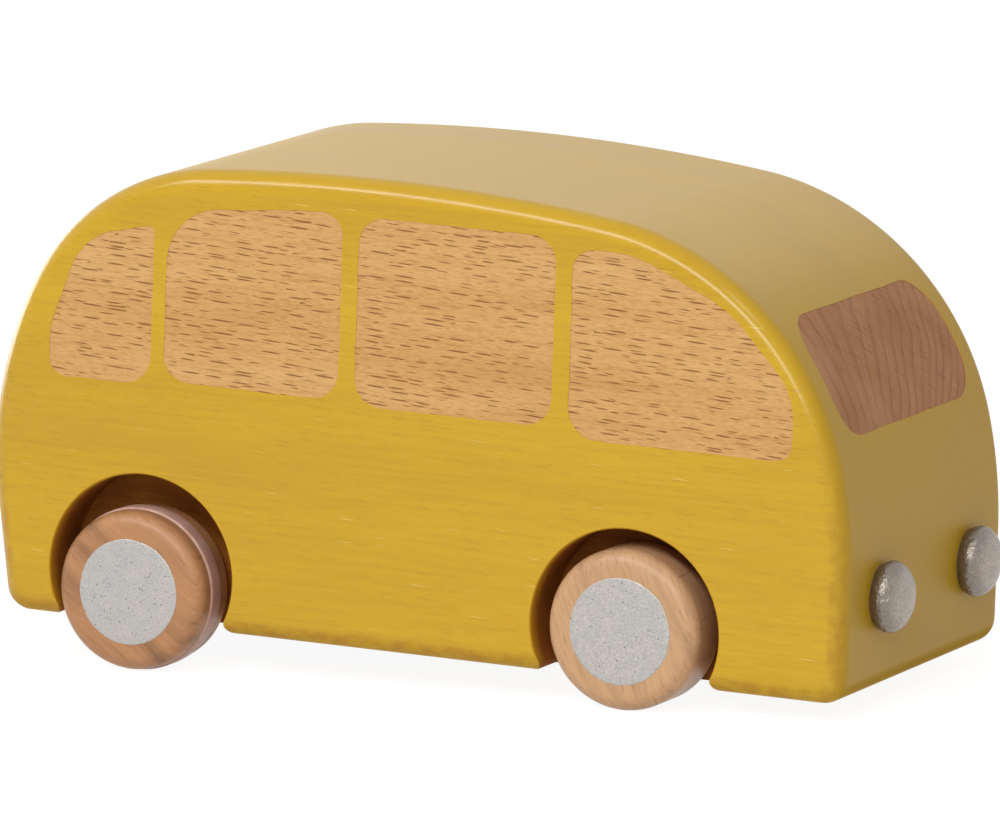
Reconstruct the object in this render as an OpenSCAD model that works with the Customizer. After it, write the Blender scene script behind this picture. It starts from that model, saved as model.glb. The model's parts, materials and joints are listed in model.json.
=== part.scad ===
// Wooden toy bus: a painted beech block on four turned wheels, with a pull-back motor underneath.
// The front is +X, up is +Z, and the wheels stand on Z = 0. All sizes are millimetres.
// The block sits a little nose down, because its rear axle is set lower than its front axle.

/* [Body] */
// Length of the wooden block, without its headlights
body_length = 127.2; // [120:0.1:136]
// Width of the wooden block
body_width = 57.5; // [54:0.5:64]
// Height of the wooden block, from its underside to its roof
body_height = 64.6; // [61:0.1:70]
// Rounding along the side edges
edge_radius = 3; // [2:0.1:3.4]
// Rounding of the two lower end corners, seen from the side
corner_radius = 3.6; // [3.5:0.1:5]

/* [Outline] */
// Radius of the nose, before the outline is fitted to the length
nose_radius = 67; // [60:0.5:74]
// Radius of the brow above the windscreen
brow_radius = 40.8; // [38:0.1:43]
// Radius of the roof
roof_radius = 292; // [240:1:360]
// Radius of the rear shoulder
shoulder_radius = 31.8; // [29:0.1:34]
// Radius of the tail
tail_radius = 53.9; // [48:0.1:60]
// How far the tail leans in at its foot, in degrees
tail_lean = 8.3; // [6:0.1:10]

/* [Windows] */
// Height of the window sills above the underside
sill_height = 33.5; // [31:0.1:36]
// Wood left between the side windows and the roof
window_top_margin = 4.9; // [4:0.1:7]
// Wood left between the front side window and the brow
brow_margin = 3.5; // [3.5:0.1:6]
// Wood left between the rear side window and the shoulder
shoulder_margin = 4.5; // [4:0.1:7]
// Distance from the rear end to the rear side window
window_tail_margin = 8.9; // [8.5:0.1:11]
// Width of the rear side window
rear_window_width = 15.2; // [12:0.1:17]
// Width of the second side window
second_window_width = 26.2; // [22:0.1:28]
// Width of the third side window
third_window_width = 29; // [25:0.1:31]
// Width of the front side window
front_window_width = 32.6; // [28:0.1:34]
// Width of the painted pillars between the side windows
pillar_width = 2.3; // [1.6:0.1:4]
// Width of the windscreen
windscreen_width = 45.5; // [38:0.5:48]
// Height of the windscreen
windscreen_height = 15.3; // [12:0.1:18]
// Depth of the paint step round the bare wood
paint_step = 0.15; // [0.1:0.05:0.3]

/* [Headlights] */
// Diameter of a headlight button
lamp_diameter = 9.9; // [8:0.1:11]
// How far a headlight stands out
lamp_height = 4.5; // [3:0.1:5.2]
// Distance between the headlight centres
lamp_spacing = 31.2; // [24:0.2:36]
// Height of the headlights above the underside
lamp_level = 13.4; // [10:0.1:14]
// Diameter of a headlight's tenon
tenon_diameter = 5; // [3:0.1:6]

/* [Wheels] */
// Diameter of the wooden wheels
wheel_diameter = 22; // [20:0.1:23]
// Thickness of the wheels
wheel_width = 9; // [8:0.1:10]
// How far the wheel faces stand out from the sides
wheel_proud = 1.5; // [0.5:0.1:2.5]
// Diameter of the painted hub discs
hub_diameter = 14.6; // [12:0.1:15.5]
// Distance between the wheel arches
arch_spacing = 72; // [70:0.1:75]
// Distance from the front end to the middle of the front arch
front_overhang = 31.7; // [30:0.1:34]
// Diameter of the wheel arches
arch_diameter = 27.4; // [27:0.1:29]
// Height of the arch centres above the underside
arch_level = 7.3; // [6:0.1:8]
// Free gap between a wheel and the wall behind it
wheel_gap = 1.1; // [0.8:0.1:2]
// How much lower the rear axle sits than the front axle
rear_axle_drop = 2.45; // [2:0.05:2.9]
// How far the rear axle sits behind the middle of its arch
rear_axle_setback = 1.1; // [0.4:0.1:1.4]
// Diameter of both axles
axle_diameter = 3; // [2.6:0.1:3.2]
// Width of a rubber traction ring
ring_width = 3; // [2.2:0.1:3.6]
// How far a traction ring stands above the tread
ring_proud = 0.25; // [0.2:0.05:0.5]

/* [Motor] */
// Gear module
gear_module = 0.7; // [0.64:0.01:0.72]
// Teeth on the small gears
small_teeth = 10; // [10:1:11]
// Teeth on the large gears
large_teeth = 24; // [22:1:25]
// Width of the motor case
case_width = 22; // [21:0.2:24]
// Wall of the motor case
case_wall = 1.2; // [1:0.1:1.5]
// Turns of the mainspring
spring_turns = 6; // [4:1:7]
// Thickness of the mainspring strip
spring_strip = 0.4; // [0.3:0.05:0.5]

/* [Fits] */
// Radial play of a turning shaft in its bore
running_play = 0.07; // [0.04:0.01:0.1]

/* [Hidden] */
$fn = 64;

paint = [0.80, 0.65, 0.20];
bare_wood = [0.82, 0.62, 0.39];
end_grain = [0.59, 0.42, 0.32];
wheel_wood = [0.78, 0.61, 0.47];
silver = [0.74, 0.73, 0.71];
rubber = [0.72, 0.58, 0.55];
steel = [0.66, 0.67, 0.69];
case_plastic = [0.20, 0.20, 0.21];
gear_plastic = [0.93, 0.92, 0.88];
spring_steel = [0.36, 0.38, 0.42];

half_width = body_width / 2;
front_end = body_length / 2;
rim_steps = 5;
corner_steps = 6;

// How far a cut runs past the face that it opens, and how far pieces of one solid run into each other.
cut_over = 1;
fuse = 0.5;

// The side outline is a chain of arcs that run into one another: nose, brow, roof, shoulder, tail.
raw_radii = [nose_radius, brow_radius, roof_radius, shoulder_radius, tail_radius];
// One arc runs into the next at these angles, in degrees from the front.
arc_ends = [0, 14.1, 83, 94.7, 156.2, 180 + tail_lean];
function dir(a) = [cos(a), sin(a)];
function raw_centre(i) = i == 0
    ? [0, 0]
    : raw_centre(i - 1) + (raw_radii[i - 1] - raw_radii[i]) * dir(arc_ends[i]);
raw_length = raw_radii[0] - raw_centre(4)[0] + raw_radii[4];
outline_scale = body_length / raw_length;
radii = raw_radii * outline_scale;
outline_shift = [front_end - radii[0], body_height - radii[2] - raw_centre(2)[1] * outline_scale];
centres = [for (i = [0 : 4]) raw_centre(i) * outline_scale + outline_shift];
tail_foot = centres[4] + radii[4] * dir(arc_ends[5]);
tail_out = dir(arc_ends[5]);
front_corner = [front_end - corner_radius, corner_radius];
rear_corner = [tail_foot[0] - (corner_radius + (corner_radius - tail_foot[1]) * tail_out[1]) / tail_out[0],
    corner_radius];
arc_steps = [4, 18, 6, 18, 8];

// Where the two axles and the wheels sit on the block.
wheel_radius = wheel_diameter / 2;
axle_radius = axle_diameter / 2;
arch_radius = arch_diameter / 2;
front_arch = [front_end - front_overhang, arch_level];
rear_arch = [front_arch[0] - arch_spacing, arch_level];
front_shaft = front_arch;
rear_shaft = [rear_arch[0] - rear_axle_setback, front_shaft[1] - rear_axle_drop];
wheel_outer = half_width + wheel_proud;
wheel_inner = wheel_outer - wheel_width;
arch_floor = wheel_inner - wheel_gap;
arch_corner = 1.4;
axle_cover = 2.25;
bore_depth = wheel_width - axle_cover;
axle_length = 2 * (wheel_inner + bore_depth);
slot_play = 1;
groove_depth = 1;
ring_inset = 3.2;
paint_film = 0.1;

// The block pitches so that both pairs of wheels stand on the ground.
shaft_line = front_shaft - rear_shaft;
pitch = atan(shaft_line[1] / shaft_line[0]) + asin(ring_proud / norm(shaft_line));
lamp_radius = lamp_diameter / 2;
lamp_rise = lamp_height / 3;
lamp_dome = lamp_height - lamp_rise;
lamp_offset = lamp_spacing / 2;
tenon_length = 7;
reach_front = cos(pitch) * (front_end + lamp_rise) + sin(pitch) * lamp_level
    + norm([cos(pitch) * lamp_dome, sin(pitch) * lamp_radius]);
reach_rear = cos(pitch) * centres[4][0] + sin(pitch) * centres[4][1] - radii[4];
place_x = -(reach_front + reach_rear) / 2;
place_z = wheel_radius + sin(pitch) * front_shaft[0] - cos(pitch) * front_shaft[1];

// Gear train: axle gear, compound gear, spring gear, all across the bus.
small_pitch = gear_module * small_teeth / 2;
large_pitch = gear_module * large_teeth / 2;
gear_reach = small_pitch + large_pitch;
addendum = 0.8 * gear_module;
dedendum = 1.15 * gear_module;
pressure_angle = 20;
gear_slack = 0.06;
first_lift = 50;
second_fall = -20;
idler_shaft = rear_shaft + gear_reach * dir(first_lift);
spring_shaft = idler_shaft + gear_reach * dir(second_fall);
gear_room = 0.8;
floor_room = 0.5;
top_room = 0.6;
large_tip = large_pitch + addendum;
small_tip = small_pitch + addendum;
case_half = case_width / 2;
case_inside = case_half - case_wall;
lowest_tip = min(rear_shaft[1] - small_tip, spring_shaft[1] - large_tip);
room_low = [rear_shaft[0] - small_tip - gear_room, lowest_tip - floor_room];
room_high = [spring_shaft[0] + large_tip + gear_room, idler_shaft[1] + large_tip + top_room];
case_drop = 1;
flange_thickness = 2.4;
flange_reach = 8;
pocket_play = 0.3;
end_play = 0.3;

// Layers across the case, from its right wall: drive gears, spring gear, mainspring. Each pair is a start
// and a thickness.
side_room = 1.2;
layer_gap = 0.6;
drive_gear_width = 3;
spring_gear_width = 2.8;
spring_gap = 0.8;
drive_layer = [-case_inside + side_room, drive_gear_width];
spring_layer = [drive_layer[0] + drive_gear_width + layer_gap, spring_gear_width];
spring_low = spring_layer[0] + spring_gear_width + spring_gap;
spring_high = case_inside - side_room;
pin_radius = 1;
arbor_radius = 1.5;
gear_hub = 2.2;
spring_inner = 2.7;
spring_margin = 0.4;
spring_outer = large_pitch - spring_margin;
coil_steps = 30;
tab_gap = 0.35;
jaw_length = 1.2;
jaw_thickness = 0.9;
jaw_play = 0.05;
jaw_start = 1;
screw_radius = 1.2;
screw_length = 10;
screw_head = 2.3;
screw_head_height = 1.3;
cross_length = 3;
cross_width = 0.7;
cross_depth = 0.7;
head_sink = 0.1;
head_play = 0.3;
screw_seat = screw_head_height + head_sink;
pilot_room = 0.5;
screw_inset = 5;
screw_row = case_half - screw_inset;
screw_rear_x = room_low[0] - case_wall - flange_reach / 2;
screw_front_x = room_high[0] + case_wall + flange_reach / 2;

// Puts a piece drawn on the level block onto its wheels.
module on_wheels() {
    translate([place_x, 0, place_z])
        rotate([0, pitch, 0])
            children();
}

// Turns a shape drawn in side view, x and height, into the block's frame.
module side_view() {
    rotate([90, 0, 0])
        children();
}

// A shaft across the bus at a point of the side view, from one side to the other.
module across(at, from, to) {
    translate([at[0], from, at[1]])
        rotate([-90, 0, 0])
            linear_extrude(to - from)
                children();
}

// Points of a quarter circle that starts at the given angle.
function quarter(start, cx, cy, r, steps) = [for (i = [0 : steps])
    [cx + r * cos(start + 90 * i / steps), cy + r * sin(start + 90 * i / steps)]];

// Points along an arc of the side outline, set in from it, with or without the last one.
function arc_points(centre, r, from, to, steps, last) = [for (k = [0 : steps - (last ? 0 : 1)])
    centre + r * dir(from + (to - from) * k / steps)];

// The whole side outline, set in by a margin, from the front corner up over the roof.
function outline(inset) = concat(
    arc_points(front_corner, corner_radius - inset, -90, 0, corner_steps, true),
    [for (i = [0 : 4])
        each arc_points(centres[i], radii[i] - inset, arc_ends[i], arc_ends[i + 1], arc_steps[i], i == 4)],
    arc_points(rear_corner, corner_radius - inset, arc_ends[5], 270, corner_steps, true));

// The whole block, before anything is cut from it: rings of the outline from the right side to the left.
ring_turns = [for (k = [0 : rim_steps]) 90 * k / rim_steps];
rings = concat(
    [for (t = ring_turns) [edge_radius * (1 - sin(t)), -half_width + edge_radius * (1 - cos(t))]],
    [for (t = ring_turns) [edge_radius * (1 - cos(t)), half_width - edge_radius * (1 - sin(t))]]);
ring_size = len(outline(0));
ring_count = len(rings);

module block() {
    polyhedron(
        points = [for (ring = rings, p = outline(ring[0])) [p[0], ring[1], p[1]]],
        faces = concat(
            [[for (k = [0 : ring_size - 1]) ring_size - 1 - k]],
            [for (j = [0 : ring_count - 2], k = [0 : ring_size - 1])
                let (m = (k + 1) % ring_size)
                [j * ring_size + k, j * ring_size + m, (j + 1) * ring_size + m, (j + 1) * ring_size + k]],
            [[for (k = [0 : ring_size - 1]) (ring_count - 1) * ring_size + k]]));
}

// A rectangle with its own rounding at each corner, from the lower left one round.
function rounded_box(low, high, r) = concat(
    quarter(180, low[0] + r[0], low[1] + r[0], r[0], corner_steps),
    quarter(270, high[0] - r[1], low[1] + r[1], r[1], corner_steps),
    quarter(0, high[0] - r[2], high[1] - r[2], r[2], corner_steps),
    quarter(90, low[0] + r[3], high[1] - r[3], r[3], corner_steps));

// The side windows stand in a row from the tail, with a pillar between each two.
window_widths = [rear_window_width, second_window_width, third_window_width, front_window_width];
function window_left(i) = i == 0
    ? window_tail_margin - front_end
    : window_right(i - 1) + pillar_width;
function window_right(i) = window_left(i) + window_widths[i];
window_top = body_height - window_top_margin;
rear_window_drop = 4.2;
front_window_drop = 1.2;
soft_corner = 3.8;
tight_corner = 2.3;
sharp_corner = 1;
swept_corner = 8;
windscreen_corner = 5.4;
windscreen_lift = 1.7;

module window_shape(i, top, r) {
    polygon(rounded_box([window_left(i), sill_height], [window_right(i), top], r));
}

module window_shapes() {
    intersection() {
        window_shape(0, window_top - rear_window_drop,
            [tight_corner, soft_corner, sharp_corner, tight_corner]);
        translate(centres[3])
            circle(radii[3] - shoulder_margin);
    }
    window_shape(1, window_top, [soft_corner, soft_corner, soft_corner, swept_corner]);
    window_shape(2, window_top, [soft_corner, soft_corner, soft_corner, soft_corner]);
    intersection() {
        window_shape(3, window_top - front_window_drop,
            [soft_corner, tight_corner, tight_corner, soft_corner]);
        translate(centres[1])
            circle(radii[1] - brow_margin);
    }
}

// The step where the paint stops at the windows on one side.
module side_window_step(side) {
    side_view()
        translate([0, 0, side * half_width - paint_step])
            linear_extrude(2 * paint_step)
                window_shapes();
}

// The step where the paint stops at the windscreen, on the round of the brow.
module windscreen_step() {
    intersection() {
        translate([0, 0, sill_height + windscreen_lift])
            rotate([90, 0, 90])
                linear_extrude(body_length)
                    polygon(rounded_box([-windscreen_width / 2, 0], [windscreen_width / 2, windscreen_height],
                        [for (k = [0 : 3]) windscreen_corner]));
        side_view()
            translate([centres[1][0], centres[1][1], 0])
                linear_extrude(body_width, center = true)
                    difference() {
                        circle(radii[1] + paint_step);
                        circle(radii[1] - paint_step);
                    }
    }
}

// One wheel arch in side view, with rounded corners where it meets the underside. Each corner's cut starts
// a little inside the arch, so that the two cuts cross cleanly.
foot_x = sqrt(pow(arch_radius + arch_corner, 2) - pow(arch_corner - arch_level, 2));
foot_turn = atan((arch_level - arch_corner) / foot_x);
module arch_foot(at, way) {
    foot_steps = 8;
    foot_overlap = 0.1;
    lip = [for (k = [0 : foot_steps])
        let (r = arch_corner + (k == 0 ? foot_overlap : 0))
        [foot_x, arch_corner - arch_level] + r * dir(180 - foot_turn + (90 + foot_turn) * k / foot_steps)];
    translate([at[0], at[1]])
        mirror([way < 0 ? 1 : 0, 0])
            polygon(concat(lip,
                [[foot_x, -arch_level - cut_over], [0, -arch_level - cut_over], [0, lip[0][1]]]));
}

module arch_cut(at, side) {
    near = side > 0 ? arch_floor : -half_width - cut_over;
    far = side > 0 ? half_width + cut_over : -arch_floor;
    translate([at[0], near, at[1]])
        rotate([-90, 0, 0])
            cylinder(r = arch_radius, h = far - near);
    for (way = [-1, 1])
        translate([0, far, 0])
            side_view()
                linear_extrude(far - near)
                    arch_foot(at, way);
}

// A box cut up into the underside round the motor, wider than the gear room by a margin at each end.
module underside_cut(margin, depth) {
    translate([room_low[0] - margin - pocket_play, -case_half - pocket_play, -cut_over])
        cube([room_high[0] - room_low[0] + 2 * (margin + pocket_play), case_width + 2 * pocket_play,
            depth + cut_over]);
}

// The pocket for the motor case, and the shallow recess that sinks its tabs flush.
module motor_pocket() {
    underside_cut(case_wall, room_high[1] + case_wall + pocket_play);
    underside_cut(case_wall + flange_reach, flange_thickness);
}

// The slot that lets the rear axle drop in from below.
module axle_slot() {
    slot = axle_radius + slot_play;
    slot_end = arch_floor + cut_over;
    across(rear_shaft, -slot_end, slot_end)
        circle(slot);
    translate([rear_shaft[0] - slot, -slot_end, -cut_over])
        cube([2 * slot, 2 * slot_end, rear_shaft[1] + cut_over]);
}

module screw_places() {
    for (x = [screw_rear_x, screw_front_x])
        for (side = [-1, 1])
            translate([x, side * screw_row, 0])
                children();
}

module body() {
    on_wheels()
        difference() {
            color(paint)
                block();
            color(bare_wood)
                for (side = [-1, 1])
                    side_window_step(side);
            color(end_grain)
                windscreen_step();
            color(end_grain)
                for (at = [front_arch, rear_arch])
                    for (side = [-1, 1])
                        arch_cut(at, side);
            color(bare_wood) {
                across(front_shaft, -arch_floor - cut_over, arch_floor + cut_over)
                    circle(axle_radius + running_play);
                for (side = [-1, 1])
                    translate([front_end - tenon_length, side * lamp_offset, lamp_level])
                        rotate([0, 90, 0])
                            cylinder(d = tenon_diameter, h = tenon_length + cut_over);
                motor_pocket();
                axle_slot();
                screw_places()
                    translate([0, 0, -cut_over])
                        cylinder(r = screw_radius, h = screw_seat + screw_length + pilot_room + cut_over);
            }
        }
}

// Half section of a headlight: an oval that is widest a little above the front and draws in to its foot.
lamp_steps = 12;
lamp_foot = -asin(lamp_rise / lamp_dome);
lamp_section = concat([[0, 0]],
    [for (k = [0 : lamp_steps - 1])
        let (turn = lamp_foot + (90 - lamp_foot) * k / lamp_steps)
        [lamp_radius * cos(turn), k == 0 ? 0 : lamp_rise + lamp_dome * sin(turn)]],
    [[0, lamp_height]]);

// A domed button on a tenon.
module headlight(side) {
    color(silver)
        on_wheels()
            translate([front_end, side * lamp_offset, lamp_level])
                rotate([0, 90, 0]) {
                    rotate_extrude()
                        polygon(lamp_section);
                    translate([0, 0, fuse - tenon_length])
                        cylinder(d = tenon_diameter, h = tenon_length);
                }
}
module headlight_left() { headlight(1); }
module headlight_right() { headlight(-1); }

// Half section of a wheel: radius across, and along the axle from the inner face out.
outer_round = 2.2;
inner_round = 0.6;
ring_end = wheel_width - ring_inset;
ring_start = ring_end - ring_width;
function wheel_section(grooved) = concat(
    [[axle_radius, 0]],
    quarter(270, wheel_radius - inner_round, inner_round, inner_round, 4),
    grooved ? [[wheel_radius, ring_start], [wheel_radius - groove_depth, ring_start],
        [wheel_radius - groove_depth, ring_end], [wheel_radius, ring_end]] : [],
    quarter(0, wheel_radius - outer_round, wheel_width - paint_film - outer_round, outer_round, 8),
    [[0, wheel_width - paint_film], [0, bore_depth], [axle_radius, bore_depth]]);

// Places a piece drawn from a wheel's inner face outwards.
module at_wheel(at, side) {
    on_wheels()
        translate([at[0], side * wheel_inner, at[1]])
            rotate([-90 * side, 0, 0])
                children();
}

module wheel(at, side, grooved) {
    at_wheel(at, side) {
        color(wheel_wood)
            rotate_extrude()
                polygon(wheel_section(grooved));
        color(silver)
            translate([0, 0, wheel_width - 2 * paint_film])
                cylinder(d = hub_diameter, h = 2 * paint_film);
    }
}
module front_wheel_left() { wheel(front_shaft, 1, false); }
module front_wheel_right() { wheel(front_shaft, -1, false); }
module rear_wheel_left() { wheel(rear_shaft, 1, true); }
module rear_wheel_right() { wheel(rear_shaft, -1, true); }

// A rubber band that sits in the groove of a rear wheel.
module traction_ring(side) {
    ring_outer = wheel_radius + ring_proud;
    ring_bottom = wheel_radius - groove_depth;
    ease = 0.3;
    color(rubber)
        at_wheel(rear_shaft, side)
            rotate_extrude()
                polygon([[ring_bottom, ring_start], [ring_outer - ease, ring_start],
                    [ring_outer, ring_start + ease], [ring_outer, ring_end - ease],
                    [ring_outer - ease, ring_end], [ring_bottom, ring_end]]);
}
module traction_ring_left() { traction_ring(1); }
module traction_ring_right() { traction_ring(-1); }

module axle(at) {
    color(steel)
        on_wheels()
            across(at, -axle_length / 2, axle_length / 2)
                circle(axle_radius);
}
module front_axle() { axle(front_shaft); }
module rear_axle() { axle(rear_shaft); }

// Gear outline with involute flanks, one tooth centred on the given angle.
function roll(r, base) = r <= base ? 0 : sqrt(r * r / (base * base) - 1) * 180 / PI - acos(base / r);
function flank(teeth, r) =
    let (pitch_r = gear_module * teeth / 2, base = pitch_r * cos(pressure_angle))
    90 / teeth - gear_slack / pitch_r * 180 / PI + roll(pitch_r, base) - roll(r, base);
function gear_outline(teeth, turn) =
    let (pitch_r = gear_module * teeth / 2,
        steps = [pitch_r - dedendum, pitch_r - 0.4 * dedendum, pitch_r, pitch_r + 0.5 * addendum,
            pitch_r + addendum])
    [for (i = [0 : teeth - 1], k = [0 : 9])
        let (out = k < 5, r = steps[out ? k : 9 - k])
        r * dir(turn + 360 * i / teeth + (out ? -1 : 1) * flank(teeth, r))];

// A gear across the bus, over a layer given as its start and its thickness.
module gear(at, layer, teeth, turn) {
    on_wheels()
        across(at, layer[0], layer[0] + layer[1])
            mirror([0, 1])
                polygon(gear_outline(teeth, turn));
}

module collar(at, from, to, r) {
    on_wheels()
        across(at, from, to)
            circle(r);
}

module axle_gear() {
    color(gear_plastic)
        difference() {
            union() {
                gear(rear_shaft, drive_layer, small_teeth, first_lift);
                collar(rear_shaft, -case_inside + end_play, case_inside - end_play, gear_hub);
            }
            collar(rear_shaft, -case_half, case_half, axle_radius);
        }
}

module compound_gear() {
    color(gear_plastic)
        difference() {
            union() {
                gear(idler_shaft, drive_layer, large_teeth, first_lift + 180 + 180 / large_teeth);
                gear(idler_shaft, [drive_layer[0] + fuse, spring_layer[0] + spring_layer[1] - drive_layer[0]],
                    small_teeth, second_fall);
                collar(idler_shaft, -case_inside + end_play, case_inside - end_play, gear_hub);
            }
            collar(idler_shaft, -case_half, case_half, pin_radius + running_play);
        }
}

module gear_pin() {
    color(steel)
        collar(idler_shaft, -case_half, case_half, pin_radius);
}

module spring_gear() {
    color(gear_plastic)
        difference() {
            union() {
                gear(spring_shaft, spring_layer, large_teeth, second_fall + 180 + 180 / large_teeth);
                collar(spring_shaft, -case_inside + end_play, spring_layer[0] + fuse, gear_hub);
            }
            collar(spring_shaft, -case_half, case_half, arbor_radius);
        }
}

module spring_arbor() {
    color(steel)
        collar(spring_shaft, -case_half, case_half, arbor_radius);
}

// The coiled strip, with its outer end led straight into the anchor.
spring_tab = room_high[0] - spring_shaft[0] - tab_gap;
coil_points = spring_turns * coil_steps;
function coil(r_shift, way) = [for (i = [0 : coil_points])
    let (k = way > 0 ? i : coil_points - i)
    (spring_inner + (spring_outer - spring_inner) * k / coil_points + r_shift) * dir(360 * k / coil_steps)];
module mainspring() {
    color(spring_steel)
        on_wheels()
            across(spring_shaft, spring_low, spring_high) {
                polygon(concat(coil(spring_strip / 2, 1), coil(-spring_strip / 2, -1)));
                translate([spring_outer - spring_strip / 2, -spring_strip / 2])
                    square([spring_tab - spring_outer, spring_strip]);
            }
}

// One half of the motor case, with its shaft holes and two screw tabs.
module motor_case(side) {
    size = room_high - room_low;
    hole_end = case_half + cut_over;
    jaw_height = (jaw_thickness + spring_strip) / 2 + jaw_play;
    low = side > 0 ? 0 : -case_half;
    inner_low = side > 0 ? -cut_over : -case_inside;
    color(case_plastic)
        on_wheels() {
            difference() {
                union() {
                    translate([room_low[0] - case_wall, low, -case_drop])
                        cube([size[0] + 2 * case_wall, case_half, room_high[1] + case_wall + case_drop]);
                    translate([room_low[0] - case_wall - flange_reach, low, 0])
                        cube([size[0] + 2 * (case_wall + flange_reach), case_half, flange_thickness]);
                }
                translate([room_low[0], inner_low, room_low[1]])
                    cube([size[0], case_inside + cut_over, size[1]]);
                across(rear_shaft, -hole_end, hole_end)
                    circle(axle_radius + running_play);
                across(spring_shaft, -hole_end, hole_end)
                    circle(arbor_radius + running_play);
                across(idler_shaft, -hole_end, hole_end)
                    circle(pin_radius);
                screw_places() {
                    cylinder(r = screw_radius, h = flange_thickness + cut_over);
                    translate([0, 0, -cut_over])
                        cylinder(r = screw_head + head_play, h = screw_seat + cut_over);
                }
            }
            if (side > 0)
                for (jaw = [-1, 1])
                    translate([room_high[0] - jaw_length, jaw_start,
                        spring_shaft[1] + jaw * jaw_height - jaw_thickness / 2])
                        cube([jaw_length + fuse, spring_high - jaw_start, jaw_thickness]);
        }
}
module motor_case_left() { motor_case(1); }
module motor_case_right() { motor_case(-1); }

// A pan-head wood screw with a cross in its head.
module motor_screw(x, side) {
    color(steel)
        on_wheels()
            translate([x, side * screw_row, screw_seat])
                difference() {
                    union() {
                        translate([0, 0, -screw_head_height])
                            cylinder(r = screw_head, h = screw_head_height);
                        translate([0, 0, -fuse])
                            cylinder(r = screw_radius, h = screw_length + fuse);
                    }
                    for (turn = [0, 90])
                        rotate([0, 0, turn])
                            translate([-cross_length / 2, -cross_width / 2, -screw_head_height - cut_over])
                                cube([cross_length, cross_width, cross_depth + cut_over]);
                }
}
module motor_screw_front_left() { motor_screw(screw_front_x, 1); }
module motor_screw_front_right() { motor_screw(screw_front_x, -1); }
module motor_screw_rear_left() { motor_screw(screw_rear_x, 1); }
module motor_screw_rear_right() { motor_screw(screw_rear_x, -1); }

body();
headlight_left();
headlight_right();
front_axle();
front_wheel_left();
front_wheel_right();
rear_axle();
rear_wheel_left();
rear_wheel_right();
traction_ring_left();
traction_ring_right();
motor_case_left();
motor_case_right();
axle_gear();
compound_gear();
gear_pin();
spring_gear();
spring_arbor();
mainspring();
motor_screw_front_left();
motor_screw_front_right();
motor_screw_rear_left();
motor_screw_rear_right();
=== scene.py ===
"""Wooden toy bus: looks, light and camera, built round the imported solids. Sizes are millimetres."""

import json
import math

import bpy
import numpy as np
from mathutils import Matrix, Vector, noise


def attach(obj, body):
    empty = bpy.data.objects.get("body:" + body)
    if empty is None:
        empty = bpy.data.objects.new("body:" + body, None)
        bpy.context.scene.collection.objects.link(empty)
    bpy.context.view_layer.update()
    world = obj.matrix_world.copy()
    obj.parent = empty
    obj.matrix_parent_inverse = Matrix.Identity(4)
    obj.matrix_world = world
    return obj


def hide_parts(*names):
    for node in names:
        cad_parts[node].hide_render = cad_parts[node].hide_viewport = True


MM = 0.001

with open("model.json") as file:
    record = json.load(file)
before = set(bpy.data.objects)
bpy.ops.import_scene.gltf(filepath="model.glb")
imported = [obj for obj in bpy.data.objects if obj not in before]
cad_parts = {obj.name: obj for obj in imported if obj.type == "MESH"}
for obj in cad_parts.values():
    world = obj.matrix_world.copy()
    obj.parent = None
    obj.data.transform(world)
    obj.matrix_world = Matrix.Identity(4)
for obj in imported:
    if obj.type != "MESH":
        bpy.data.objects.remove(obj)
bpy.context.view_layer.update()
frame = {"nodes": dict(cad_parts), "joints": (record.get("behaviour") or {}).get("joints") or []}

# Driving sizes of the block, the same as in the part's source
BODY_LENGTH = 127.2
BODY_WIDTH = 57.5
BODY_HEIGHT = 64.6
EDGE_RADIUS = 3.0
CORNER_RADIUS = 3.6

# The five arcs of the block's side outline: nose, brow, roof, shoulder and tail
NOSE = 0
BROW = 1
ROOF = 2
TAIL = 4
ARC_RADII = [67.0, 40.8, 292.0, 31.8, 53.9]
ARC_ENDS = [0, 14.1, 83, 94.7, 156.2, 188.3]  # degrees where each arc starts, and the last ends
ARC_STEPS = [10, 52, 18, 48, 24]
CORNER_STEPS = 12
RIM_STEPS = 12

# Wheels, rings and axles
WHEEL_RADIUS = 11.0
WHEEL_WIDTH = 9.0
WHEEL_PROUD = 1.5
WHEEL_GAP = 1.1
OUTER_ROUND = 2.2
OUTER_STEPS = 14
INNER_ROUND = 0.6
INNER_STEPS = 6
AXLE_RADIUS = 1.5
AXLE_COVER = 2.25
RUNNING_PLAY = 0.07
RING_INSET = 3.2
RING_WIDTH = 3.0
RING_PROUD = 0.25
RING_EASE = 0.45
RING_STEPS = 5
GROOVE_DEPTH = 1.0
TURNED_SEGMENTS = 144

# The film of silver paint on a wheel's face
HUB_RADIUS = 7.3
HUB_MARGIN = 0.3
HUB_WAVER = 0.09
WAVER_PITCH = 2.2
PAINT_FILM = 0.1
FILM_SINK = 0.05
FILM_EDGE = [(0.0, -FILM_SINK), (0.0, 0.03), (-0.06, 0.08)]  # steps from the rim and up from the face
FILM_EASE = [-0.18, -1.2]  # steps in from the rim on top of the film

# Wheel arches
ARCH_RADIUS = 13.7
ARCH_LEVEL = 7.3
ARCH_CORNER = 1.4
ARCH_SPACING = 72.0
ARCH_STEPS = 96
FOOT_STEPS = 12
ARCH_LIP = 0.35
LIP_TURN = 80
LIP_LEVELS = 6
FRONT_OVERHANG = 31.7
REAR_AXLE_DROP = 2.45
REAR_AXLE_SETBACK = 1.1

# The motor's pocket and the rear axle's slot
MOTOR_PLAY = 0.3
TAB_REACH = 8.0
TAB_HEIGHT = 2.4
SLOT_PLAY = 1.0
BORE_STEPS = 48
CUT_OVER = 1.0  # how far a cutter stands out past the face that it opens
END_SHIFT = 0.1  # keeps the ends of two cutters out of one plane

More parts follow.
